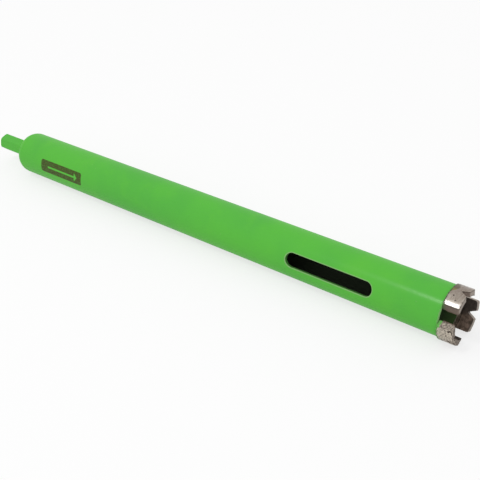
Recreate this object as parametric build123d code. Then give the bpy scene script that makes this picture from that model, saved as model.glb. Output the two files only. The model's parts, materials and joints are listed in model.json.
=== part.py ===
from build123d import *
from math import asin, cos, degrees, radians, sin, tan
import os

# Dry diamond core bit, lying on its barrel as it comes to rest on a bench.
# Millimetres and degrees. +X runs along the bit from the shank to the crown, +Z is up.
# The origin is under the middle of the whole bit, on the surface that it lies on.

# Barrel: a steel tube with one core ejection slot
barrel_diameter = 26.0
barrel_wall = 2.0
barrel_length = 300.0
slot_length = 51.0
slot_width = 7.7
slot_setback = 60.5      # from the front edge of the barrel to the middle of the slot
slot_angle = 23.0        # direction that the slot faces, up from -Y
edge_break = 0.25        # outer edges of the slot and of the barrel's front

# Shank end: a turned plug with a rounded shoulder and a hexagonal shank
seat_length = 12.0       # counterbore in the rear of the barrel that takes the plug's spigot
seat_step = 0.5          # how much the counterbore widens the bore, in radius
spigot_clearance = 0.05
spigot_chamfer = 0.3
shoulder_round = 6.5
shoulder_slope = 24.0    # how far the shoulder leans back from square to the axis
hex_across_flats = 9.5
hex_length = 22.4        # from the tip of the shoulder to the end of the shank
hex_chamfer = 0.4        # turned on the end of the shank
hex_corner_break = 0.1   # turned off the hexagon's corners, in radius
hex_angle = 12.0         # turn of the hexagon's corners, down from -Y

# Crown: straight-sided diamond segments, each with a notched front edge
segment_count = 3
segment_width = 15.7
segment_height = 8.4
segment_proud_outside = 1.0   # how far a segment stands out of the barrel's outer face
segment_proud_inside = 0.2    # how far a segment stands into the bore, past its foot
backing_height = 2.1          # welded foot of a segment, flush with the bore
notch_width = 4.2
notch_depth = 3.3
horn_round = 1.2              # outer corners of a segment's two horns
notch_round = 0.35            # corners beside the notch, and its root
rim_round = 0.4               # outer front edge of a segment, seen in section
foot_chamfer = 0.5            # corners of a segment that meet the barrel

# Worked out from the sizes above
barrel_radius = barrel_diameter / 2
bore_radius = barrel_radius - barrel_wall
seat_radius = bore_radius + seat_step
crown_radius = barrel_radius + segment_proud_outside
crown_bore_radius = bore_radius - segment_proud_inside
shoulder_tangent_radius = barrel_radius - shoulder_round * (1 - sin(radians(shoulder_slope)))
shoulder_tangent_reach = shoulder_round * cos(radians(shoulder_slope))
shoulder_reach = shoulder_tangent_reach + shoulder_tangent_radius * tan(radians(shoulder_slope))
overall_length = hex_length + shoulder_reach + barrel_length + segment_height
front_edge = overall_length / 2 - segment_height
rear_edge = front_edge - barrel_length
segment_spacing = 360 / segment_count
segment_half_angle = degrees(asin(segment_width / 2 / crown_radius))

# A gap of the crown faces straight down, so the bit lies on its barrel
# unless the two corners beside that gap reach lower.
crown_corner_drop = crown_radius * cos(radians(segment_spacing / 2 - segment_half_angle))
axis_height = max(barrel_radius, crown_corner_drop)


def make_barrel():
    """Tube along X, counterbored at its rear, with a round-ended slot through one wall."""
    slot_direction = Vector(0, -cos(radians(slot_angle)), sin(radians(slot_angle)))
    rear = Plane(origin=(rear_edge, 0, 0), x_dir=-slot_direction, z_dir=(1, 0, 0))
    tube = extrude(rear * (Circle(barrel_radius) - Circle(bore_radius)), barrel_length)
    tube -= extrude(rear * Circle(seat_radius), seat_length)
    slot_plane = Plane(origin=(front_edge - slot_setback, 0, 0), x_dir=(1, 0, 0), z_dir=slot_direction)
    barrel = tube - extrude(slot_plane * SlotOverall(slot_length, slot_width), barrel_diameter)
    outer_face = barrel.faces().sort_by(SortBy.AREA)[-1]
    front_circle = outer_face.edges().sort_by(Axis.X)[-1]
    slot_edges = outer_face.inner_wires()[0].edges()
    return chamfer([front_circle, *slot_edges], edge_break)


def make_hexagon():
    """Hexagonal bar with its corners and its end turned down a little."""
    bar_length = shoulder_reach + hex_length
    bar_start = Plane(origin=(rear_edge, 0, 0), x_dir=(0, -1, 0), z_dir=(-1, 0, 0))
    hexagon = RegularPolygon(hex_across_flats / 2, 6, major_radius=False)
    bar = extrude(bar_start * Rot(Z=-hex_angle) * hexagon, bar_length)
    blank = extrude(bar_start * Circle(hexagon.radius - hex_corner_break), bar_length)
    blank_end = blank.faces().sort_by(Axis.X)[0]
    return bar & chamfer(blank_end.edges(), hex_chamfer)


def make_shank():
    """Plug that closes the rear of the barrel, with the hexagonal shank on it."""
    spigot_front = rear_edge + seat_length
    spigot_radius = seat_radius - spigot_clearance
    tip_x = rear_edge - shoulder_reach
    tangent = (rear_edge - shoulder_tangent_reach, shoulder_tangent_radius)
    outline = [
        Line((tip_x, 0), tangent),
        RadiusArc(tangent, (rear_edge, barrel_radius), shoulder_round),
        Polyline(
            (rear_edge, barrel_radius),
            (rear_edge, spigot_radius),
            (spigot_front - spigot_chamfer, spigot_radius),
            (spigot_front, spigot_radius - spigot_chamfer),
            (spigot_front, 0),
            (tip_x, 0),
        ),
    ]
    turned = revolve(make_face(outline), Axis.X)
    return turned + make_hexagon()


def segment_section():
    """Section of the crown ring: radius along Y, distance from the barrel along X."""
    section = make_face(
        Polyline(
            (0, bore_radius),
            (backing_height, bore_radius),
            (backing_height, crown_bore_radius),
            (segment_height, crown_bore_radius),
            (segment_height, crown_radius),
            (0, crown_radius),
            close=True,
        )
    )
    outer_front_corner = section.vertices().group_by(Axis.X)[-1].sort_by(Axis.Y)[-1]
    return fillet(outer_front_corner, rim_round)


def segment_outline():
    """Face of one segment, unrolled: length of the bit along X, width along Y."""
    half_width = segment_width / 2
    half_notch = notch_width / 2
    root = segment_height - notch_depth
    outline = make_face(
        Polyline(
            (0, -half_width),
            (segment_height, -half_width),
            (segment_height, -half_notch),
            (root, 0),
            (segment_height, half_notch),
            (segment_height, half_width),
            (0, half_width),
            close=True,
        )
    )
    corners = outline.vertices()
    feet = corners.group_by(Axis.X)[0]
    outline = chamfer(feet, foot_chamfer)
    corners = outline.vertices()
    front = corners.group_by(Axis.X)[-1].sort_by(Axis.Y)
    outline = fillet([front[0], front[-1]], horn_round)
    by_width = outline.vertices().filter_by_position(Axis.Y, -half_notch, half_notch)
    return fillet(by_width.filter_by_position(Axis.X, root, segment_height), notch_round)


def make_segments():
    """Crown ring cut to straight-sided segments, the first one on top."""
    ring = revolve(segment_section(), Axis.X)
    block = extrude(segment_outline(), barrel_diameter)
    first = Pos(front_edge, 0, 0) * (ring & block)
    return [Rot(X=segment_spacing * turn) * first for turn in range(segment_count)]


parts = {"barrel": make_barrel(), "shank": make_shank()}
for number, segment in enumerate(make_segments(), start=1):
    parts[f"segment_{number}"] = segment

os.makedirs("parts", exist_ok=True)
for name, shape in parts.items():
    export_step(Pos(0, 0, axis_height) * shape, f"parts/{name}.step")
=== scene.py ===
import json
import math
import random

import bpy
import numpy as np
from mathutils import Matrix, Vector, noise


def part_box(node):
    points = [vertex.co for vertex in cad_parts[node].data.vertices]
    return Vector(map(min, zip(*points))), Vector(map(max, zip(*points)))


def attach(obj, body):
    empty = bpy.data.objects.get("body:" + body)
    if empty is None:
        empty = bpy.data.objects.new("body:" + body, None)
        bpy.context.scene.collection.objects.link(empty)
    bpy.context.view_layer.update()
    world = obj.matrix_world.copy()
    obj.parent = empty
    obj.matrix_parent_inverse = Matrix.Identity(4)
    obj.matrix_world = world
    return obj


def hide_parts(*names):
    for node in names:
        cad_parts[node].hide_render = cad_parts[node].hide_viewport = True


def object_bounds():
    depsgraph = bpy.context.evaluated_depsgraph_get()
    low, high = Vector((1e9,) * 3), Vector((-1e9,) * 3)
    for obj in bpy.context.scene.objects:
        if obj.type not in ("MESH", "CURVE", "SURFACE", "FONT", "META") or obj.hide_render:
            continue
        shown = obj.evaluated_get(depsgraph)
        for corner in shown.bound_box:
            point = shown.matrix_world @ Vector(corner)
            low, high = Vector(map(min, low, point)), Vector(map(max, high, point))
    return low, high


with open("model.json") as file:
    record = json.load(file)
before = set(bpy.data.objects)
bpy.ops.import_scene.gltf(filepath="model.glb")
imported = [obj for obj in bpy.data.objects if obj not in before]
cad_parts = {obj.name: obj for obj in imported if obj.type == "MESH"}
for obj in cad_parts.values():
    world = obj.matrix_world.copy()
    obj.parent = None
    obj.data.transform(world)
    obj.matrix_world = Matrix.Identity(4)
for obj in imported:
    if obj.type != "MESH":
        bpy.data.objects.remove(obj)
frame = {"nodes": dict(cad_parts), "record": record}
cad_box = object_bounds()
nodes = frame["nodes"]

# Places on the bit, in metres, read from the frame
MM = 0.001
barrel_low, barrel_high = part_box("barrel")
segment_low, segment_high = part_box("segment_1")
FRONT_EDGE = barrel_high.x
BARREL_RADIUS = (barrel_high.z - barrel_low.z) / 2
AXIS_HEIGHT = (barrel_high.z + barrel_low.z) / 2
CROWN_RADIUS = segment_high.z - AXIS_HEIGHT
SEGMENT_HEIGHT = segment_high.x - segment_low.x
mounts = {mount["name"]: mount for mount in frame["record"]["mounts"]}
BORE_RADIUS = mounts["core_bore"]["dims"]["r_mm"] * MM

# Slot of the barrel, as its solid has it
SLOT_BEHIND = 60.5 * MM        # middle of the slot, behind the front edge
SLOT_ANGLE = math.radians(23.0)
SLOT_LENGTH = 51.0 * MM
SLOT_WIDTH = 7.7 * MM

# Camera: where it stands from the middle of the barrel's front edge, and how it looks
CAMERA_AHEAD = 0.1295          # along the bit, past the front edge
CAMERA_DISTANCE = 0.3801       # from the bit's axis
CAMERA_RISE = 44.1             # direction from the axis to the camera, up from -Y
CAMERA_AZIMUTH = 43.2
CAMERA_ELEVATION = 35.9
CAMERA_ROLL = 7.44
CAMERA_LENS = 62.6

# Light: a white room that is brighter overhead, and a small lamp for the crown's highlight
ROOM_LOW = 0.80
ROOM_HIGH = 1.02
LAMP_DIRECTION = (-0.29, -0.375, 0.880)    # from the crown
LAMP_DISTANCE = 1.2
LAMP_LENGTH = 0.24             # across the bit
LAMP_WIDTH = 0.10
LAMP_POWER = 2.3
FLOOR_HALF = 3.0
FLOOR_WHITE = (0.86, 0.86, 0.86, 1)
FLOOR_GLOW = 0.70              # how far the seen floor is lifted to plain white, near the bit
FLOOR_NEAR = 0.25
FLOOR_FAR = 1.2                # from here on it is plain white

# Printed patch on the barrel, with a plain arrow left in the colour of the paint
PATCH_BEHIND = 260.6 * MM      # middle of the patch, behind the front edge
PATCH_TURN = math.radians(17.1)
PATCH_HALF_LENGTH = 18.8 * MM
PATCH_HALF_HEIGHT = 4.1 * MM
PATCH_CORNER = 1.5 * MM
ARROW_HALF_LENGTH = 15.0 * MM
ARROW_HALF_WIDTH = 0.60 * MM
ARROW_HEAD = 2.7 * MM
PRINT_SOFTNESS = 0.06 * MM

# Colours, in linear values
PAINT_GREEN = (0.090, 0.445, 0.044, 1)
PAINT_SHADE = (0.080, 0.410, 0.048, 1)
PAINT_LIGHT = (0.104, 0.468, 0.041, 1)
PAINT_WORN = (0.30, 0.42, 0.22, 1)
PAINT_THIN = (0.070, 0.115, 0.040, 1)
BORE_MOUTH = (0.056, 0.105, 0.034, 1)
BORE_DEEP = (0.044, 0.058, 0.037, 1)
PATCH_BROWN = (0.050, 0.062, 0.010, 1)
METAL_BROWN = (0.225, 0.180, 0.145, 1)
METAL_PALE = (0.43, 0.385, 0.330, 1)
# pale worn metal, also used as painted light on lit faces and as a highlight on raised edges
METAL_WORN_AND_LIT = (0.60, 0.53, 0.43, 1)
# painted highlight on a segment's outer face, beside a flank
SIDE_HIGHLIGHT_METAL = (0.72, 0.69, 0.65, 1)
METAL_DARK = (0.045, 0.034, 0.027, 1)
FLANK_BROWN = (0.190, 0.145, 0.120, 1)
INNER_BROWN = (0.090, 0.060, 0.040, 1)
INNER_PALE = (0.25, 0.175, 0.135, 1)
HEAT_OLIVE = (0.19, 0.17, 0.035, 1)
HEAT_BROWN = (0.12, 0.090, 0.055, 1)

# Surfaces
METALLIC = 0.8
METALLIC_INNER = 0.3
METAL_ROUGHNESS = 0.50
GROUND_ROUGHNESS = 0.24        # on a segment's outer face
PAINT_ROUGHNESS = 0.5
PAINT_COAT = 0.35
PAINT_COAT_ROUGHNESS = 0.22

# Sizes of what the surfaces are mottled with
PAINT_CLOUD = 38 * MM
PAINT_CLOUDLET = 14 * MM
ORANGE_PEEL = 1.5 * MM
NIB_SPACING = 5.5 * MM         # dust caught in the paint
NIB_SIZE = 0.38 * MM
PRINT_MOTTLE = 0.7 * MM
METAL_CLOUD = 1.6 * MM
METAL_SPECK = 1.0 * MM
METAL_GRAIN = 0.30 * MM
GRIT_SPACING = 0.55 * MM
GRIT_SIZE = 0.16 * MM
STREAK_SIZE = 0.9 * MM         # grinding streaks, before they are drawn out round the bit
STREAK_NARROWING = 3.2         # along the bit
STREAK_RADIUS = 4.0 * MM       # the crown's radius over this is how far they are drawn out
INNER_PATCH = 2.6 * MM
SPRAY_DROP = 0.6 * MM

# Heights of their fine relief
PEEL_HEIGHT = 0.016 * MM
NIB_HEIGHT = 0.03 * MM
GRAIN_HEIGHT = 0.03 * MM
STREAK_HEIGHT = 0.02 * MM

# Bands in which one surface gives way to another: where the change starts and where it is full.
# A torn band also has the size of the clouds that tear it, and their reach.

# By radius
BARREL_SKIN = (BARREL_RADIUS - 0.35 * MM, BARREL_RADIUS - 0.20 * MM)
BARREL_LINING = (BORE_RADIUS + 0.35 * MM, BORE_RADIUS + 0.05 * MM)
SEGMENT_SKIN = (CROWN_RADIUS - 0.34 * MM, CROWN_RADIUS - 0.16 * MM)
SEGMENT_LINING = (BORE_RADIUS + 0.30 * MM, BORE_RADIUS + 0.05 * MM)
# painted shade on the flanks, under a segment's outer rim
PAINTED_RIM_SHADE = (CROWN_RADIUS - 0.95 * MM, CROWN_RADIUS - 0.55 * MM, 1.2 * MM, 0.5 * MM)

# Behind the barrel's front edge
WORN_FRONT = (0.35 * MM, 0.05 * MM, 0.8 * MM, 0.6 * MM)
BORE_DARKENING = (1.0 * MM, 14.0 * MM)

# Past the barrel's front edge
PALE_LINE_AHEAD = 0.2 * MM          # pale line inside, along the joint: its middle
PALE_LINE_BAND = (0.50 * MM, 0.15 * MM)  # on both sides of that
DARK_JOINT = (0.65 * MM, 0.30 * MM, 1.1 * MM, 1.2 * MM)
SPRAY = (2.0 * MM, 1.2 * MM, 0.9 * MM, 2.4 * MM)
SKIN_SPRAY = (0.5 * MM, 0.2 * MM, 0.8 * MM, 1.6 * MM)
THIN_SPRAY = (0.2 * MM, 0.8 * MM, 1.0 * MM, 0.8 * MM)
# stray paint in the foot corners, dark there as painted shade
CORNER_SPRAY_AND_SHADE = (1.7 * MM, 1.2 * MM, 0.8 * MM, 0.8 * MM)
# raised edges start to show wear and painted highlight in this band
WORN_EDGE_HIGHLIGHT = (0.6 * MM, 2.0 * MM)
# painted shade inside a segment's front lip
PAINTED_LIP_SHADE = (SEGMENT_HEIGHT - 1.3 * MM, SEGMENT_HEIGHT - 0.5 * MM)
SEGMENT_FRONT = (SEGMENT_HEIGHT - 0.45 * MM, SEGMENT_HEIGHT - 0.20 * MM)

# From the slot's outline
SLOT_WALL = (0.25 * MM, 0.10 * MM)
SLOT_RIM_MIDDLE = 0.22 * MM
SLOT_RIM = (0.42 * MM, 0.22 * MM)      # on both sides of that

# From a segment's flank
# Painted highlight on the outer face beside a flank
SIDE_HIGHLIGHT_BAND = (2.4 * MM, 1.0 * MM)
SIDE_HIGHLIGHT_REACH = 3.0 * MM        # how far the streaks tear it

# Round the bit from the middle of a segment's heat tint
BROWNER_ROUND_TINT = (8.5 * MM, 2.5 * MM, 2.0 * MM, 4.0 * MM)
HEAT_TINT = (4.9 * MM, 3.7 * MM, 2.0 * MM, 3.0 * MM)
BROWN_TINT = (-2.4 * MM, -1.6 * MM, 1.5 * MM, 1.6 * MM)
PAINTED_SHADOW_TURN = 30.0               # degrees, from the tint back to the middle of the painted shadow inside
PAINTED_SHADOW_BAND = (math.cos(math.radians(32.0)), 0.97)    # cosines of the turn from that


class Shader:
    """Short calls that add nodes to one material."""

    def __init__(self, name):
        self.material = bpy.data.materials.new(name)
        self.material.use_nodes = True
        self.nodes = self.material.node_tree.nodes
        self.links = self.material.node_tree.links
        self.surface = self.nodes["Principled BSDF"]
        self.place = self.nodes.new("ShaderNodeTexCoord").outputs["Object"]
        split = self.nodes.new("ShaderNodeSeparateXYZ")
        self.links.new(self.place, split.inputs[0])
        self.x, self.y, height = split.outputs
        self.z = self.minus(height, AXIS_HEIGHT)
        self.radius = self.length(self.y, self.z)
        self.ahead = self.minus(self.x, FRONT_EDGE)
        self.behind = self.minus(FRONT_EDGE, self.x)
        self.turn = self.math("ARCTAN2", self.z, self.times(self.y, -1.0))

    def put(self, value, socket):
        """Link a socket's output, or set a plain value."""
        if isinstance(value, bpy.types.NodeSocket):
            self.links.new(value, socket)
        else:
            socket.default_value = value

    def math(self, operation, *values):
        node = self.nodes.new("ShaderNodeMath")
        node.operation = operation
        for value, socket in zip(values, node.inputs):
            self.put(value, socket)
        return node.outputs[0]

    def plus(self, first, second):
        return self.math("ADD", first, second)

    def minus(self, first, second):
        return self.math("SUBTRACT", first, second)

    def times(self, first, second):
        return self.math("MULTIPLY", first, second)

    def larger(self, first, second):
        return self.math("MAXIMUM", first, second)

    def length(self, first, second):
        return self.math("SQRT", self.plus(self.times(first, first), self.times(second, second)))

    def fade(self, value, start, end, low=0.0, high=1.0):
        """Smooth change from low at start to high at end."""
        node = self.nodes.new("ShaderNodeMapRange")
        node.interpolation_type = "SMOOTHSTEP"
        names = ("Value", "From Min", "From Max", "To Min", "To Max")
        for name, setting in zip(names, (value, start, end, low, high)):
            self.put(setting, node.inputs[name])
        return node.outputs["Result"]

    def mix(self, factor, first, second):
        """Blend two colours."""
        node = self.nodes.new("ShaderNodeMix")
        node.data_type = "RGBA"
        for setting, index in ((factor, 0), (first, 6), (second, 7)):
            self.put(setting, node.inputs[index])
        return node.outputs[2]

    def noise(self, size, detail=2.0, place=None, roughness=0.5):
        """Cloudy value from 0 to 1, with features about as large as size."""
        node = self.nodes.new("ShaderNodeTexNoise")
        self.put(place or self.place, node.inputs["Vector"])
        node.inputs["Scale"].default_value = 1 / size
        node.inputs["Detail"].default_value = detail
        node.inputs["Roughness"].default_value = roughness
        return node.outputs["Fac"]

    def ragged(self, value, size, reach):
        """A distance made uneven by clouds of the given size."""
        return self.plus(value, self.times(self.minus(self.noise(size, 3.0), 0.5), reach))

    def torn(self, value, band, low=0.0, high=1.0):
        """Smooth change from low to high over a torn band."""
        start, end, size, reach = band
        return self.fade(self.ragged(value, size, reach), start, end, low, high)

    def dots(self, spacing, size):
        """Round dots, 1 at their middles, one to each cell of about spacing."""
        node = self.nodes.new("ShaderNodeTexVoronoi")
        self.put(self.place, node.inputs["Vector"])
        node.inputs["Scale"].default_value = 1 / spacing
        return self.fade(node.outputs["Distance"], size / spacing, 0.0)

    def join(self, x, y, z):
        node = self.nodes.new("ShaderNodeCombineXYZ")
        for value, socket in zip((x, y, z), node.inputs):
            self.put(value, socket)
        return node.outputs[0]

    def stored(self, name):
        """Value that the mesh keeps at each of its points."""
        node = self.nodes.new("ShaderNodeAttribute")
        node.attribute_name = name
        return node.outputs["Fac"]

    def bump(self, height, distance, below=None):
        """Bump of the given real height, in metres."""
        node = self.nodes.new("ShaderNodeBump")
        node.inputs["Distance"].default_value = distance
        self.put(height, node.inputs["Height"])
        if below:
            self.put(below, node.inputs["Normal"])
        return node.outputs["Normal"]

    def finish(self, colour, roughness, metallic=0.0, normal=None):
        self.put(colour, self.surface.inputs["Base Color"])
        self.put(roughness, self.surface.inputs["Roughness"])
        self.put(metallic, self.surface.inputs["Metallic"])
        if normal:
            self.put(normal, self.surface.inputs["Normal"])
        return self.material


def patch_mask(shader):
    """1 on the printed patch, 0 beside it and on the arrow left out of it."""
    along = shader.minus(PATCH_BEHIND, shader.behind)
    around = shader.times(shader.minus(shader.turn, PATCH_TURN), BARREL_RADIUS)
    rise = shader.math("ABSOLUTE", around)

    def inside(distance):
        return shader.fade(distance, PRINT_SOFTNESS, -PRINT_SOFTNESS)

    over_x = shader.minus(shader.math("ABSOLUTE", along), PATCH_HALF_LENGTH - PATCH_CORNER)
    over_y = shader.minus(rise, PATCH_HALF_HEIGHT - PATCH_CORNER)
    over = shader.length(shader.larger(over_x, 0.0), shader.larger(over_y, 0.0))
    patch = inside(shader.minus(over, PATCH_CORNER))

    shaft_x = shader.minus(shader.math("ABSOLUTE", along), ARROW_HALF_LENGTH - ARROW_HEAD)
    shaft = inside(shader.larger(shaft_x, shader.minus(rise, ARROW_HALF_WIDTH)))
    tip = shader.plus(shader.minus(along, ARROW_HALF_LENGTH), rise)
    head = inside(shader.larger(tip, shader.minus(ARROW_HALF_LENGTH - ARROW_HEAD, along)))

    return shader.minus(patch, shader.times(patch, shader.larger(shaft, head)))


def slot_distance(shader):
    """Distance outside the slot's outline, and far more on the other side of the barrel."""
    sine, cosine = math.sin(SLOT_ANGLE), math.cos(SLOT_ANGLE)
    across = shader.plus(shader.times(shader.y, sine), shader.times(shader.z, cosine))
    facing = shader.minus(shader.times(shader.z, sine), shader.times(shader.y, cosine))
    along = shader.math("ABSOLUTE", shader.minus(shader.behind, SLOT_BEHIND))
    along = shader.larger(shader.minus(along, (SLOT_LENGTH - SLOT_WIDTH) / 2), 0.0)
    distance = shader.minus(shader.length(along, across), SLOT_WIDTH / 2)
    return shader.plus(distance, shader.math("LESS_THAN", facing, 0.0))


def barrel_details(shader, colour):
    """Worn edges, the printed patch and the dark bore."""
    front = shader.torn(shader.behind, WORN_FRONT)
    colour = shader.mix(shader.times(front, 0.45), colour, PAINT_WORN)

    slot = slot_distance(shader)
    skin = shader.fade(shader.radius, *BARREL_SKIN)
    rim = shader.fade(shader.math("ABSOLUTE", shader.minus(slot, SLOT_RIM_MIDDLE)), *SLOT_RIM)
    wall = shader.times(shader.fade(slot, *SLOT_WALL), shader.minus(1.0, skin))
    colour = shader.mix(shader.times(wall, 0.60), colour, BORE_DEEP)
    colour = shader.mix(shader.times(shader.times(rim, skin), 0.55), colour, PAINT_WORN)

    mottled = shader.fade(shader.noise(PRINT_MOTTLE, 3.0), 0.30, 0.60, 0.75, 1.0)
    colour = shader.mix(shader.times(patch_mask(shader), mottled), colour, PATCH_BROWN)

    bore = shader.mix(shader.fade(shader.behind, *BORE_DARKENING), BORE_MOUTH, BORE_DEEP)
    return shader.mix(shader.fade(shader.radius, *BARREL_LINING), colour, bore)


def paint(name, details=None):
    """Satin green spray paint over steel, with its slight orange peel."""
    shader = Shader(name)
    clouds = shader.fade(shader.noise(PAINT_CLOUD, 2.0), 0.36, 0.64)
    colour = shader.mix(clouds, PAINT_SHADE, PAINT_GREEN)
    cloudlets = shader.fade(shader.noise(PAINT_CLOUDLET, 3.0), 0.50, 0.75, 0.0, 0.5)
    colour = shader.mix(cloudlets, colour, PAINT_LIGHT)
    nibs = shader.dots(NIB_SPACING, NIB_SIZE)
    colour = shader.mix(shader.times(nibs, 0.40), colour, PAINT_WORN)
    if details:
        colour = details(shader, colour)

    normal = shader.bump(shader.noise(ORANGE_PEEL, 3.0), PEEL_HEIGHT)
    normal = shader.bump(nibs, NIB_HEIGHT, normal)
    shader.put(0.0, shader.surface.inputs["Specular IOR Level"])
    shader.put(PAINT_COAT, shader.surface.inputs["Coat Weight"])
    shader.put(PAINT_COAT_ROUGHNESS, shader.surface.inputs["Coat Roughness"])
    shader.put(normal, shader.surface.inputs["Coat Normal"])
    return shader.finish(colour, PAINT_ROUGHNESS, 0.0, normal)


def grinding_streaks(shader):
    """Fine streaks that run round the bit."""
    along = shader.times(shader.x, STREAK_NARROWING)
    around = shader.times(shader.turn, STREAK_RADIUS)
    return shader.noise(STREAK_SIZE, 3.0, shader.join(along, around, 0.0))


def outer_face(shader, wear_and_light, clouds, streaks, from_side):
    """Ground outer face of a segment, paler where it is lit and with a painted highlight beside
    its flanks.
    """
    colour = shader.mix(shader.fade(streaks, 0.35, 0.68), METAL_BROWN, METAL_PALE)
    colour = shader.mix(shader.times(clouds, 0.55), colour, METAL_PALE)
    # painted light: the outer face is paler where it is lit
    colour = shader.mix(wear_and_light["face"], colour, METAL_WORN_AND_LIT)
    # painted highlight: whiter metal beside a flank, its edge torn by the streaks
    side_highlight = shader.plus(from_side, shader.times(shader.minus(streaks, 0.5), SIDE_HIGHLIGHT_REACH))
    side_highlight = shader.fade(side_highlight, *SIDE_HIGHLIGHT_BAND, 0.0, wear_and_light["side_highlight"])
    return shader.mix(side_highlight, colour, SIDE_HIGHLIGHT_METAL)


def flanks_and_front(shader, wear_and_light, clouds):
    """Flanks and front of a segment, with flanks paler where they are lit as painted light, and
    broken patches of painted shade under the outer rim.
    """
    front = shader.fade(shader.ahead, *SEGMENT_FRONT)
    brown = shader.mix(shader.times(clouds, 0.45), FLANK_BROWN, METAL_BROWN)
    # painted light: flanks paler where they face the light
    colour = shader.mix(wear_and_light["flank"], brown, METAL_PALE)
    colour = shader.mix(front, colour, shader.mix(wear_and_light["front"], brown, METAL_PALE))
    # painted shade in broken patches under the outer rim
    return shader.mix(shader.torn(shader.radius, PAINTED_RIM_SHADE, 0.0, wear_and_light["rim"]), colour, METAL_DARK)


def inner_face(shader, tint_turn):
    """Mottled brown inside of a segment, with a painted shadow on one side and painted shade at
    its front lip.
    """
    patches = shader.fade(shader.noise(INNER_PATCH, 4.0, roughness=0.6), 0.36, 0.66)
    colour = shader.mix(patches, INNER_BROWN, INNER_PALE)
    # painted shadow, cast on one side of the inside
    from_soot = shader.minus(shader.turn, math.radians(tint_turn - PAINTED_SHADOW_TURN))
    painted_shadow = shader.fade(shader.math("COSINE", from_soot), *PAINTED_SHADOW_BAND, 0.0, 0.9)
    colour = shader.mix(painted_shadow, colour, METAL_DARK)
    # painted shade inside the front lip
    colour = shader.mix(shader.fade(shader.ahead, *PAINTED_LIP_SHADE, 0.0, 0.6), colour, METAL_DARK)
    # a pale line inside, along the joint
    from_pale_line = shader.math("ABSOLUTE", shader.minus(shader.ahead, PALE_LINE_AHEAD))
    return shader.mix(shader.fade(from_pale_line, *PALE_LINE_BAND, 0.0, 0.3), colour, METAL_PALE)


def heat_tinted(shader, colour, tint_turn, outer):
    """The colour, browner on the outer face round the heat tint, and tinted olive to brown where
    the joint ran hot.
    """
    from_tint = shader.minus(shader.turn, math.radians(tint_turn))
    around = shader.times(shader.math("ABSOLUTE", from_tint), CROWN_RADIUS)
    # outer face browner round the heat tint
    browner = shader.torn(around, BROWNER_ROUND_TINT, 0.0, 0.5)
    colour = shader.mix(shader.times(browner, outer), colour, FLANK_BROWN)
    tint = shader.torn(shader.length(around, shader.times(shader.ahead, 1.5)), HEAT_TINT)
    brown = shader.torn(shader.times(from_tint, CROWN_RADIUS), BROWN_TINT)
    heat = shader.mix(brown, HEAT_OLIVE, HEAT_BROWN)
    return shader.mix(shader.times(shader.times(tint, outer), 0.85), colour, heat)


def marked(shader, colour):
    """The colour, dark in grit, with painted shade in pits and hollows, and bright on raised edges
    as wear and painted highlight.
    """
    relief, carved = shader.stored("relief"), shader.stored("carved")
    grit = shader.dots(GRIT_SPACING, GRIT_SIZE)
    colour = shader.mix(shader.times(grit, 0.45), colour, METAL_DARK)
    # painted shade: darker the deeper the surface is carved, and in the hollows of its relief
    colour = shader.mix(shader.fade(carved, 0.10, 0.42, 0.0, 0.85), colour, METAL_DARK)
    colour = shader.mix(shader.fade(relief, -0.010, -0.04, 0.0, 0.9), colour, METAL_DARK)
    # raised edges paler, past the foot: wear and painted highlight
    bright = shader.fade(relief, 0.03, 0.09, 0.0, 0.6)
    bright = shader.times(bright, shader.fade(shader.ahead, *WORN_EDGE_HIGHLIGHT))
    return shader.mix(bright, colour, METAL_WORN_AND_LIT)


def oversprayed(shader, colour, thinness, outer, inner, from_side):
    """The colour with stray paint at a segment's foot, darker in its foot corners on some segments
    as painted shade, and how much paint there is.
    """
    ahead = shader.ahead
    joint = shader.times(shader.torn(ahead, DARK_JOINT), outer)
    colour = shader.mix(shader.times(joint, 0.9), colour, METAL_DARK)

    spray = shader.torn(ahead, SPRAY, 0.0, 0.9)
    drops = shader.fade(shader.noise(SPRAY_DROP, 2.0), 0.30, 0.60, 0.55, 1.0)
    on_skin = shader.torn(ahead, SKIN_SPRAY, 0.0, 0.4)
    spray = shader.fade(outer, 0.0, 1.0, shader.times(spray, drops), on_skin)
    spray = shader.times(spray, shader.minus(1.0, inner))
    thin = shader.times(shader.torn(ahead, THIN_SPRAY), thinness)
    colour = shader.mix(spray, colour, shader.mix(thin, PAINT_GREEN, PAINT_THIN))

    # stray paint in the foot corners; its darker green is painted shade of the crevice there
    corner = shader.plus(ahead, shader.times(from_side, 0.8))
    corner = shader.times(shader.torn(corner, CORNER_SPRAY_AND_SHADE, 0.0, 0.9), outer)
    colour = shader.mix(corner, colour, shader.mix(thinness, PAINT_GREEN, PAINT_THIN))
    return colour, shader.larger(spray, corner)


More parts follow.
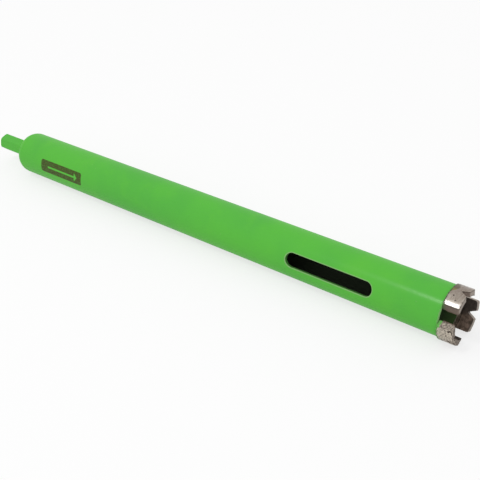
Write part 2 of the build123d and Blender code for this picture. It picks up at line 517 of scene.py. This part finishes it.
def sintered(name, wear_and_light):
    """Grey-brown diamond matrix, with heat tint and stray paint at its foot."""
    shader = Shader(name)
    outer = shader.fade(shader.radius, *SEGMENT_SKIN)
    inner = shader.fade(shader.radius, *SEGMENT_LINING)
    from_side = shader.times(shader.stored("from_side"), MM)
    clouds = shader.fade(shader.noise(METAL_CLOUD, 4.0, roughness=0.6), 0.34, 0.68)
    streaks = grinding_streaks(shader)
    lumps, tint_turn = wear_and_light["lumps"], wear_and_light["tint_turn"]

    colour = flanks_and_front(shader, wear_and_light, clouds)
    colour = shader.mix(outer, colour, outer_face(shader, wear_and_light, clouds, streaks, from_side))
    specks = shader.noise(METAL_SPECK, 3.0, roughness=0.7)
    colour = shader.mix(shader.fade(specks, 0.55, 0.66, 0.0, 0.55 * lumps), colour, METAL_DARK)
    colour = shader.mix(shader.fade(specks, 0.45, 0.34, 0.0, 0.7 * lumps), colour, METAL_WORN_AND_LIT)
    colour = shader.mix(inner, colour, inner_face(shader, tint_turn))
    colour = marked(shader, heat_tinted(shader, colour, tint_turn, outer))
    colour, painted = oversprayed(shader, colour, wear_and_light["thin"], outer, inner, from_side)

    normal = shader.bump(shader.noise(METAL_GRAIN, 3.0, roughness=0.65), GRAIN_HEIGHT)
    normal = shader.bump(shader.times(streaks, outer), STREAK_HEIGHT, normal)
    rough = shader.times(outer, GROUND_ROUGHNESS - METAL_ROUGHNESS)
    rough = shader.plus(shader.plus(rough, METAL_ROUGHNESS), shader.times(streaks, 0.10))
    metallic = shader.fade(inner, 0.0, 1.0, METALLIC, METALLIC_INNER)
    metallic = shader.times(shader.minus(1.0, painted), metallic)
    return shader.finish(colour, rough, metallic, normal)


# Detailed segments: each is a fine mesh made from its CAD node, worn and pitted inwards
VOXEL = 0.10                   # millimetres, as are the sizes below
SMOOTHING_STEPS = 9
PIT_COUNT = 46
PIT_RADIUS = (0.12, 0.34)
PIT_DEPTH = (0.04, 0.13)
GRAIN_DEPTH = 0.07
LUMP_DEPTH = 0.30
EDGE_WEAR = (0.10, 0.35, 0.9)  # how far the edges are worn round: least, usual, most
WEAR_CLOUD = 1.1               # sizes of the clouds that vary wear, grain, lumps and seam
GRAIN_CLOUD = 0.33
LUMP_CLOUD = 0.8
SEAM_CLOUD = 1.3
CLOUD_STEP = np.array((7.3, 3.1, 5.7))     # from one segment's clouds to the next one's
GROUND_SHARE = 0.8             # how much of the grain is ground off the outer face
GROUND_DEPTH = 0.35            # how far in the grinding shows
GROUND_BLEND = 0.2             # the last part of that, in which it fades
KEPT_FOOT = 0.3                # the wear fades out within this from the barrel
GOUGED = "segment_2"
GOUGE_AHEAD = 7.1              # curved gouge: its middle, past the barrel's edge
GOUGE_TURN = 1.0               # degrees
GOUGE_RADIUS = 1.05
GOUGE_WIDTH = 1.10
GOUGE_DEPTH = 0.90
GOUGE_REACH = 0.5              # from the outer face inwards

# How each segment was set by hand, has worn and takes the light: shares from 0 to 1, turns in
# degrees, and in millimetres how far its notch lies aside, how much deeper it is, and the corner
# radii of its two horns, the one at the lower turn first. The face and flank shares are painted
# light, paler where those faces are lit; the rim share is painted shade under the outer rim; the
# share of whiter metal beside a flank is a painted highlight.
WEAR_AND_LIGHT = {
    "segment_1": {
        "middle": 90.0, "seed": 1, "lumps": 0.06, "face": 0.00, "flank": 0.0, "front": 0.5,
        "rim": 0.65, "side_highlight": 0.65, "thin": 1.0, "tint_turn": 103.0,
        "set_turn": -1.8, "aside": 1.1, "deeper": 0.5, "horns": (0.9, 0.5),
    },
    "segment_2": {
        "middle": -30.0, "seed": 2, "lumps": 0.90, "face": 0.70, "flank": 0.6, "front": 0.1,
        "rim": 0.30, "side_highlight": 0.1, "thin": 0.0, "tint_turn": -48.0,
        "set_turn": 2.3, "aside": 0.0, "deeper": 0.4, "horns": (0.4, 1.0),
    },
    "segment_3": {
        "middle": -150.0, "seed": 3, "lumps": 0.35, "face": 0.10, "flank": 0.6, "front": 0.4,
        "rim": 0.20, "side_highlight": 0.4, "thin": 0.5, "tint_turn": -140.0,
        "set_turn": 3.2, "aside": -0.75, "deeper": 0.7, "horns": (1.1, 0.3),
    },
}
NOTCH_FOOT = 1.5               # the notch is moved only above this

# Horns and notch, as the solids have them
HORN_ROUND = 1.2
NOTCH_DEPTH = 3.3
NOTCH_HALF_WIDTH = 2.1

# Larger chips, given one by one: past the barrel's edge, turn in degrees, radius
CHIPS = {
    "segment_1": ((4.8, 67.6, 0.42), (8.2, 67.9, 0.40), (8.3, 58.8, 0.50), (2.9, 77.0, 0.55)),
    "segment_2": ((4.5, 3.2, 0.45), (5.2, -8.5, 0.40), (2.2, -30.0, 0.50), (6.0, -40.0, 0.45)),
    "segment_3": ((4.5, 244.5, 0.45), (3.0, 205.0, 0.50), (6.4, 190.0, 0.45)),
}
CHIP_DEPTH = 0.22
SEAM_AHEAD = 0.40              # uneven groove where a segment is joined to the barrel
SEAM_DEPTH = 0.28
SEAM_WIDTH = 0.9               # from the outer face inwards


def neighbour_mean(points, edges, counts):
    """Each point's place, taken from the points it is joined to."""
    total = np.zeros_like(points)
    np.add.at(total, edges[:, 0], points[edges[:, 1]])
    np.add.at(total, edges[:, 1], points[edges[:, 0]])
    return total / counts[:, None]


def smoothed(points, edges, counts):
    """Points of a softened copy of the mesh."""
    for _ in range(SMOOTHING_STEPS):
        points = neighbour_mean(points, edges, counts)
    return points


def cloud(points, size, octaves=2):
    """Smooth noise between about -1 and 1 at each point."""
    return np.array([noise.fractal(Vector(p / size), 1.0, 2.0, octaves) for p in points])


def fine_mesh(node):
    """Even, dense copy of a node's mesh, in millimetres."""
    source = node.data.copy()
    source.transform(Matrix.Scale(1 / MM, 4))
    coarse = bpy.data.objects.new("coarse", source)
    bpy.context.scene.collection.objects.link(coarse)
    remesh = coarse.modifiers.new("remesh", "REMESH")
    remesh.mode = "VOXEL"
    remesh.voxel_size = VOXEL
    evaluated = coarse.evaluated_get(bpy.context.evaluated_depsgraph_get())
    mesh = bpy.data.meshes.new_from_object(evaluated)
    bpy.data.objects.remove(coarse)
    bpy.data.meshes.remove(source)
    return mesh


def read_vectors(mesh, values):
    """One vector for each point of the mesh, such as its place or its normal."""
    flat = np.zeros(len(mesh.vertices) * 3)
    mesh.vertices.foreach_get(values, flat)
    return flat.reshape(-1, 3)


def read_edges(mesh):
    """The two points of each edge of the mesh."""
    pairs = np.zeros(len(mesh.edges) * 2, np.int32)
    mesh.edges.foreach_get("vertices", pairs)
    return pairs.reshape(-1, 2)


def gouge_depth(ahead, turn, from_outside):
    """Crescent cut into the outer face of one segment."""
    along = ahead - GOUGE_AHEAD
    around = np.radians(turn - GOUGE_TURN) * CROWN_RADIUS / MM
    distance = np.hypot(along, around)
    across = np.clip(1 - ((distance - GOUGE_RADIUS) / (GOUGE_WIDTH / 2)) ** 2, 0, 1)
    upper = np.clip(0.5 + around + 0.4 * along, 0, 1)
    return GOUGE_DEPTH * across * upper * (from_outside < GOUGE_REACH)


def pit_depth(points, places, dice):
    """Small pits at random points, and the larger chips at their places."""
    depth = np.zeros(len(points))
    for _ in range(PIT_COUNT):
        middle = points[dice.randrange(len(points))]
        reach, deep = dice.uniform(*PIT_RADIUS), dice.uniform(*PIT_DEPTH)
        distance = np.linalg.norm(points - middle, axis=1)
        depth += deep * np.clip(1 - (distance / reach) ** 2, 0, 1) ** 2
    for ahead, turn, reach in places:
        angle = math.radians(turn)
        middle = (ahead, -math.cos(angle) * CROWN_RADIUS / MM, math.sin(angle) * CROWN_RADIUS / MM)
        offset = points - np.array(middle) - np.array((FRONT_EDGE, 0, AXIS_HEIGHT)) / MM
        distance = np.linalg.norm(offset, axis=1)
        depth += CHIP_DEPTH * np.clip(1 - (distance / reach) ** 2, 0, 1)
    return depth


def corner_reach(radius, largest, cosine, sine):
    """How far a rounded corner lies from the middle of its largest rounding, in one direction."""
    side = largest / np.maximum(cosine, sine)
    offset = largest - radius
    square = radius ** 2 - (offset * (cosine - sine)) ** 2
    rounding = offset * (cosine + sine) + np.sqrt(np.maximum(square, 0))
    on_side = np.minimum(cosine, sine) * largest < np.maximum(cosine, sine) * offset
    return np.where(on_side, side, rounding)


def reshaped(points, wear_and_light):
    """Points of a segment with its own notch, horns and turn, and how far each is from a flank."""
    axis = np.array((FRONT_EDGE, 0, AXIS_HEIGHT)) / MM
    local = points - axis
    middle = math.radians(wear_and_light["middle"])
    outwards = np.array((0, -math.cos(middle), math.sin(middle)))
    sideways = np.array((0, math.sin(middle), math.cos(middle)))
    ahead, across = local[:, 0], local @ sideways
    radius_squared = across ** 2 + (local @ outwards) ** 2
    half_width, height = np.abs(across).max(), ahead.max()

    root = height - NOTCH_DEPTH
    beside = np.clip(1 - np.abs(across) / NOTCH_HALF_WIDTH, 0, 1)
    above_foot = np.clip((ahead - NOTCH_FOOT) / (root - NOTCH_FOOT), 0, 1)
    ahead = ahead - wear_and_light["deeper"] * beside * above_foot
    between_horns = np.clip(1 - (across / (half_width - HORN_ROUND)) ** 2, 0, 1)
    across = across + wear_and_light["aside"] * between_horns ** 2 * above_foot

    for sign, radius in zip((-1, 1), wear_and_light["horns"]):
        largest = max(radius, HORN_ROUND)
        up, out = ahead - (height - largest), sign * across - (half_width - largest)
        distance = np.maximum(np.hypot(up, out), 1e-6)
        cosine, sine = np.abs(up) / distance, np.abs(out) / distance
        now = corner_reach(HORN_ROUND, largest, cosine, sine)
        then = corner_reach(radius, largest, cosine, sine)
        grown = 1 + (then / now - 1) * np.clip(distance / now, 0, 1) ** 2
        inside = (up > 0) & (out > 0)
        ahead = np.where(inside, height - largest + up * grown, ahead)
        across = np.where(inside, sign * (half_width - largest + out * grown), across)

    middle += math.radians(wear_and_light["set_turn"])
    outward = np.sqrt(radius_squared - across ** 2)
    y = across * math.sin(middle) - outward * math.cos(middle)
    z = across * math.cos(middle) + outward * math.sin(middle)
    from_side = half_width - np.abs(across)
    return np.stack((ahead, y, z), axis=1) + axis, from_side


def carved_depth(name, points, wear_and_light):
    """How deep grain, lumps, pits, seam and gouge go below each point."""
    start, lumps = wear_and_light["seed"] * CLOUD_STEP, wear_and_light["lumps"]
    ahead = points[:, 0] - FRONT_EDGE / MM
    height = points[:, 2] - AXIS_HEIGHT / MM
    from_outside = CROWN_RADIUS / MM - np.hypot(points[:, 1], height)
    ground = np.clip((GROUND_DEPTH - from_outside) / GROUND_BLEND, 0, 1)
    grain = 0.5 + 0.5 * cloud(points + start, GRAIN_CLOUD, 3)
    lump = 0.5 + 0.5 * cloud(points - start, LUMP_CLOUD)
    depth = GRAIN_DEPTH * grain * (1 - GROUND_SHARE * ground * (1 - lumps))
    depth += LUMP_DEPTH * lump * lumps
    depth += pit_depth(points, CHIPS[name], random.Random(wear_and_light["seed"]))
    seam = np.clip(1 - np.abs(ahead - SEAM_AHEAD) / SEAM_AHEAD, 0, 1)
    seam *= np.clip(0.5 + 1.2 * cloud(points + start, SEAM_CLOUD), 0, 1)
    depth += SEAM_DEPTH * seam * (from_outside < SEAM_WIDTH)
    if name == GOUGED:
        turn = np.degrees(np.arctan2(height, -points[:, 1]))
        depth += gouge_depth(ahead, turn, from_outside)
    return depth * np.clip(ahead / KEPT_FOOT, 0, 1)


def detailed_segment(name, wear_and_light):
    """Fine, worn piece that stands for one segment of the crown."""
    mesh = fine_mesh(nodes[name])
    points, from_side = reshaped(read_vectors(mesh, "co"), wear_and_light)
    mesh.vertices.foreach_set("co", points.ravel())
    mesh.update()
    normals = read_vectors(mesh, "normal")
    edges = read_edges(mesh)
    counts = np.bincount(edges.ravel(), minlength=len(points))

    least, usual, most = EDGE_WEAR
    worn = np.clip(usual + 0.5 * cloud(points, WEAR_CLOUD), least, most)
    depth = carved_depth(name, points, wear_and_light)
    rounded = smoothed(points, edges, counts)
    shaped = points + worn[:, None] * (rounded - points) - normals * depth[:, None]
    low, high = cad_box
    shaped = np.clip(shaped, np.array(low) / MM, np.array(high) / MM)
    relief = np.sum((shaped - smoothed(shaped, edges, counts)) * normals, axis=1)

    mesh.vertices.foreach_set("co", shaped.ravel())
    for label, values in (("relief", relief), ("carved", depth), ("from_side", from_side)):
        mesh.attributes.new(label, "FLOAT", "POINT").data.foreach_set("value", values)
    mesh.transform(Matrix.Scale(MM, 4))
    mesh.update()
    mesh.shade_smooth()
    piece = bpy.data.objects.new(name + "_sintered", mesh)
    bpy.context.scene.collection.objects.link(piece)
    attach(piece, "root")
    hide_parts(name)
    return piece


def make_camera():
    """Camera at the photograph's place and angle."""
    rise = math.radians(CAMERA_RISE)
    azimuth, elevation = math.radians(CAMERA_AZIMUTH), math.radians(CAMERA_ELEVATION)
    place = Vector((
        FRONT_EDGE + CAMERA_AHEAD,
        -CAMERA_DISTANCE * math.cos(rise),
        AXIS_HEIGHT + CAMERA_DISTANCE * math.sin(rise),
    ))
    back = Vector((
        math.sin(azimuth) * math.cos(elevation),
        -math.cos(azimuth) * math.cos(elevation),
        math.sin(elevation),
    ))
    level = (-back).to_track_quat("-Z", "Y").to_matrix()
    roll = Matrix.Rotation(-math.radians(CAMERA_ROLL), 3, "Z")
    data = bpy.data.cameras.new("camera")
    data.lens = CAMERA_LENS
    data.clip_start, data.clip_end = 0.01, 20
    camera = bpy.data.objects.new("camera", data)
    camera.matrix_world = Matrix.Translation(place) @ (level @ roll).to_4x4()
    bpy.context.scene.collection.objects.link(camera)
    bpy.context.scene.camera = camera


def make_lamp():
    """Small soft lamp, turned to face the crown."""
    direction = Vector(LAMP_DIRECTION).normalized()
    data = bpy.data.lights.new("lamp", "AREA")
    data.shape = "RECTANGLE"
    data.size, data.size_y = LAMP_WIDTH, LAMP_LENGTH
    data.energy = LAMP_POWER
    lamp = bpy.data.objects.new("lamp", data)
    across = Vector((1, 0, 0)).cross(direction).normalized()
    along = across.cross(direction)
    turned = Matrix((along, across, direction)).transposed()
    place = Vector((FRONT_EDGE, 0, AXIS_HEIGHT)) + direction * LAMP_DISTANCE
    lamp.matrix_world = Matrix.Translation(place) @ turned.to_4x4()
    bpy.context.scene.collection.objects.link(lamp)


def seen_directly(tree):
    """1 for rays from the camera and for those that gloss or glass sends on."""
    path = tree.nodes.new("ShaderNodeLightPath")
    seen = path.outputs["Is Camera Ray"]
    for kind in ("Is Glossy Ray", "Is Transmission Ray"):
        either = tree.nodes.new("ShaderNodeMath")
        either.operation = "MAXIMUM"
        tree.links.new(seen, either.inputs[0])
        tree.links.new(path.outputs[kind], either.inputs[1])
        seen = either.outputs[0]
    return seen


def make_floor():
    """Pale floor that keeps shadows and fades to plain white further out."""
    material = bpy.data.materials.new("floor")
    material.use_nodes = True
    tree = material.node_tree
    surface = tree.nodes["Principled BSDF"]
    surface.inputs["Base Color"].default_value = FLOOR_WHITE
    surface.inputs["Roughness"].default_value = 0.9
    surface.inputs["Specular IOR Level"].default_value = 0.0
    glow = tree.nodes.new("ShaderNodeEmission")
    glow.inputs["Strength"].default_value = 1.0
    reach = tree.nodes.new("ShaderNodeVectorMath")
    reach.operation = "LENGTH"
    tree.links.new(tree.nodes.new("ShaderNodeTexCoord").outputs["Object"], reach.inputs[0])
    lift = tree.nodes.new("ShaderNodeMapRange")
    lift.interpolation_type = "SMOOTHSTEP"
    lift.inputs["From Min"].default_value = FLOOR_NEAR
    lift.inputs["From Max"].default_value = FLOOR_FAR
    lift.inputs["To Min"].default_value = FLOOR_GLOW
    tree.links.new(reach.outputs["Value"], lift.inputs["Value"])
    share = tree.nodes.new("ShaderNodeMath")
    share.operation = "MULTIPLY"
    tree.links.new(lift.outputs["Result"], share.inputs[0])
    tree.links.new(seen_directly(tree), share.inputs[1])
    mix = tree.nodes.new("ShaderNodeMixShader")
    tree.links.new(share.outputs[0], mix.inputs[0])
    tree.links.new(surface.outputs[0], mix.inputs[1])
    tree.links.new(glow.outputs[0], mix.inputs[2])
    tree.links.new(mix.outputs[0], tree.nodes["Material Output"].inputs["Surface"])
    mesh = bpy.data.meshes.new("floor")
    s = FLOOR_HALF
    mesh.from_pydata([(-s, -s, 0), (s, -s, 0), (s, s, 0), (-s, s, 0)], [], [(0, 1, 2, 3)])
    mesh.materials.append(material)
    floor = bpy.data.objects.new("floor", mesh)
    bpy.context.scene.collection.objects.link(floor)


def make_world():
    """White room: a little brighter overhead, and plain white where it is seen."""
    world = bpy.data.worlds.new("world")
    bpy.context.scene.world = world
    world.use_nodes = True
    tree = world.node_tree
    split = tree.nodes.new("ShaderNodeSeparateXYZ")
    tree.links.new(tree.nodes.new("ShaderNodeTexCoord").outputs["Generated"], split.inputs[0])
    room = tree.nodes.new("ShaderNodeMapRange")
    room.inputs["To Min"].default_value = ROOM_LOW
    room.inputs["To Max"].default_value = ROOM_HIGH
    tree.links.new(split.outputs["Z"], room.inputs["Value"])
    strength = tree.nodes.new("ShaderNodeMapRange")
    strength.inputs["To Max"].default_value = 1.0
    tree.links.new(room.outputs["Result"], strength.inputs["To Min"])
    tree.links.new(seen_directly(tree), strength.inputs["Value"])
    background = tree.nodes["Background"]
    background.inputs["Color"].default_value = (1, 1, 1, 1)
    tree.links.new(strength.outputs["Result"], background.inputs["Strength"])


def dress(piece, material):
    """Give a piece one material in place of its own."""
    piece.data.materials.clear()
    piece.data.materials.append(material)


make_camera()
make_lamp()
make_floor()
make_world()

dress(nodes["barrel"], paint("barrel_paint", barrel_details))
dress(nodes["shank"], paint("shank_paint"))
for name, wear_and_light in WEAR_AND_LIGHT.items():
    dress(detailed_segment(name, wear_and_light), sintered(name + "_metal", wear_and_light))

bpy.context.scene.view_settings.view_transform = "Standard"
